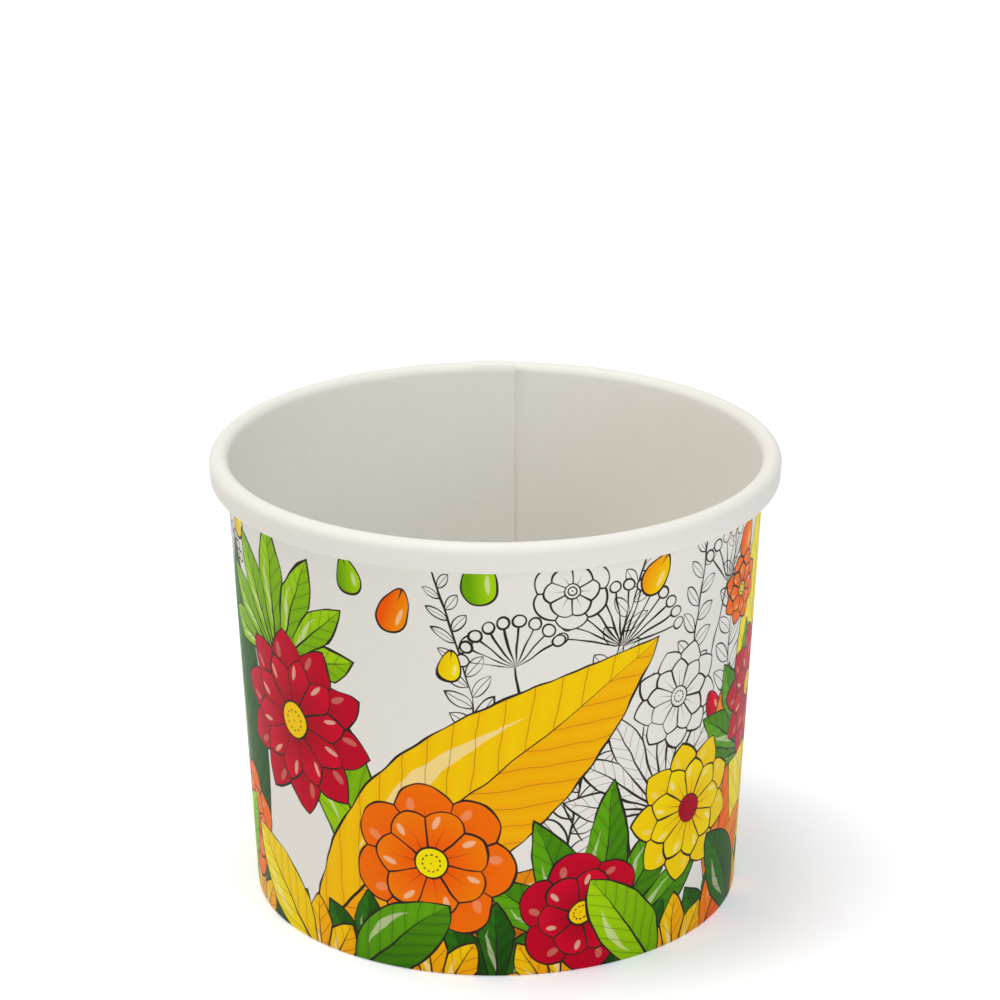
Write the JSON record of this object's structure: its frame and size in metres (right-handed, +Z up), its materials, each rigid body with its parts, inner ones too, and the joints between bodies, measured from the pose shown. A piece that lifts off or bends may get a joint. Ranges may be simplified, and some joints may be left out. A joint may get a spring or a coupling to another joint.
{
  "type": "paper dessert cup",
  "caption": "Squat round paper cup for ice cream, with a lapped side seam, an outward rolled rim and a base held up inside a folded foot.",
  "frame": {"origin": "on the cup's axis, at the level of the ground under the folded foot", "axes": "+Z up along the cup's axis, +Y towards the side seam, -Y towards the side that the picture shows"},
  "size_m": [0.098, 0.0982, 0.0799],
  "materials": {
    "printed_board": "satin",
    "plain_board": "satin"
  },
  "bodies": {
    "root": {"sidewall": "printed_board", "base_disc": "plain_board"}
  },
  "joints": []
}
